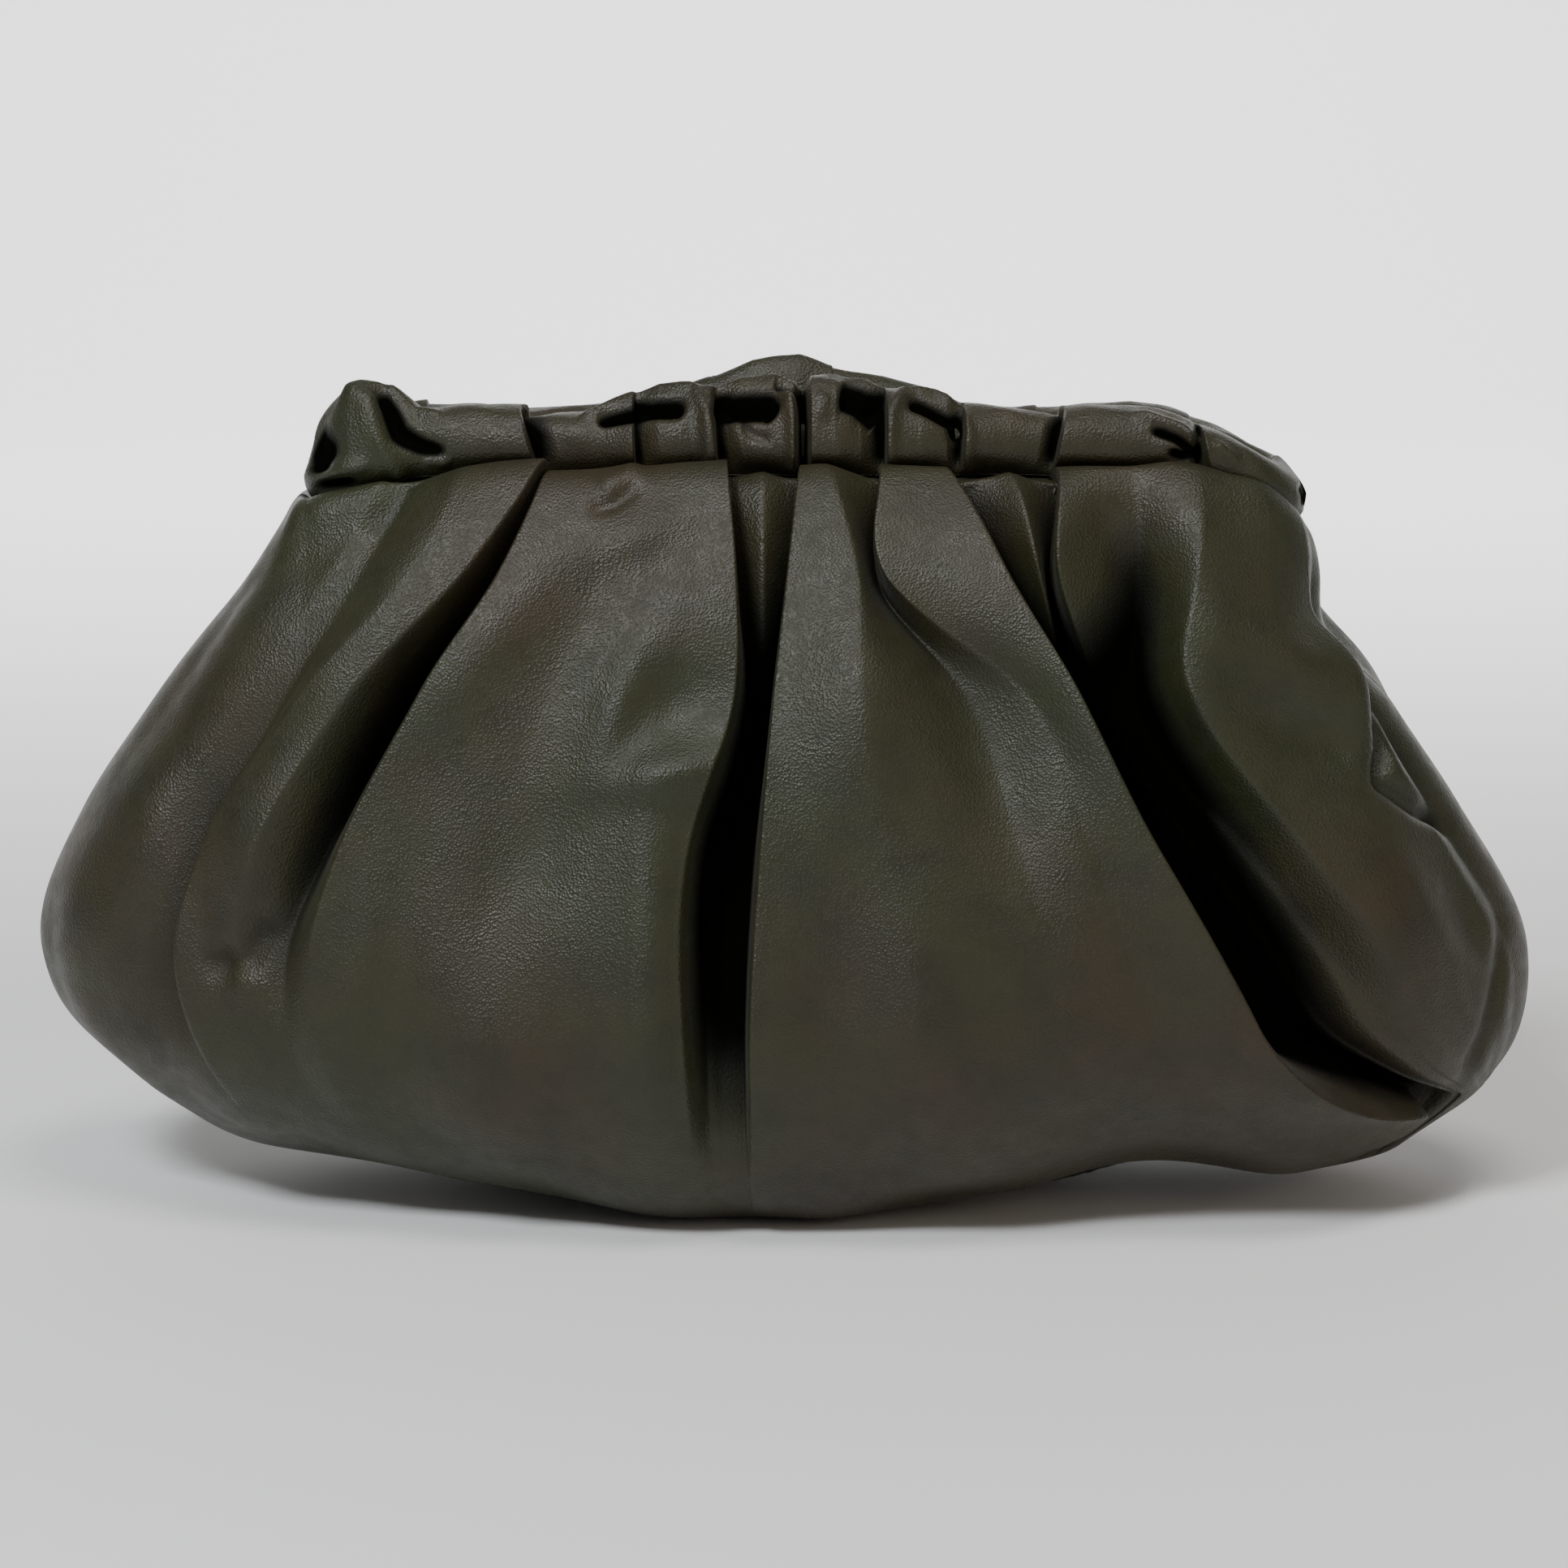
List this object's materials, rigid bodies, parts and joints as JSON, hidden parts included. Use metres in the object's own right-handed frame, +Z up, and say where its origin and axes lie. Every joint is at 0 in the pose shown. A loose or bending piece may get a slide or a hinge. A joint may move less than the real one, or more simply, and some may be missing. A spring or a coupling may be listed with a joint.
{
  "type": "cloud pouch bag",
  "caption": "Soft gathered leather clutch on a hidden hinge frame, with deep pleats falling from the mouth to a rounded belly and a flat base.",
  "frame": {"origin": "middle of the flat base, on the surface the bag stands on, under the centre of the bag's box", "axes": "+Z up, +X along the bag's length to the right seen from the front, +Y from the front to the back"},
  "size_m": [0.3089, 0.1278, 0.1717],
  "materials": {
    "leather": "soft satin leather with a fine pebbled grain, dark olive brown",
    "frame_metal": "dark reddish brown coated steel"
  },
  "bodies": {
    "root": {"panel_front": "leather", "panel_back": "leather", "sleeve_front": "leather", "sleeve_back": "leather", "frame": "frame_metal"}
  },
  "joints": []
}
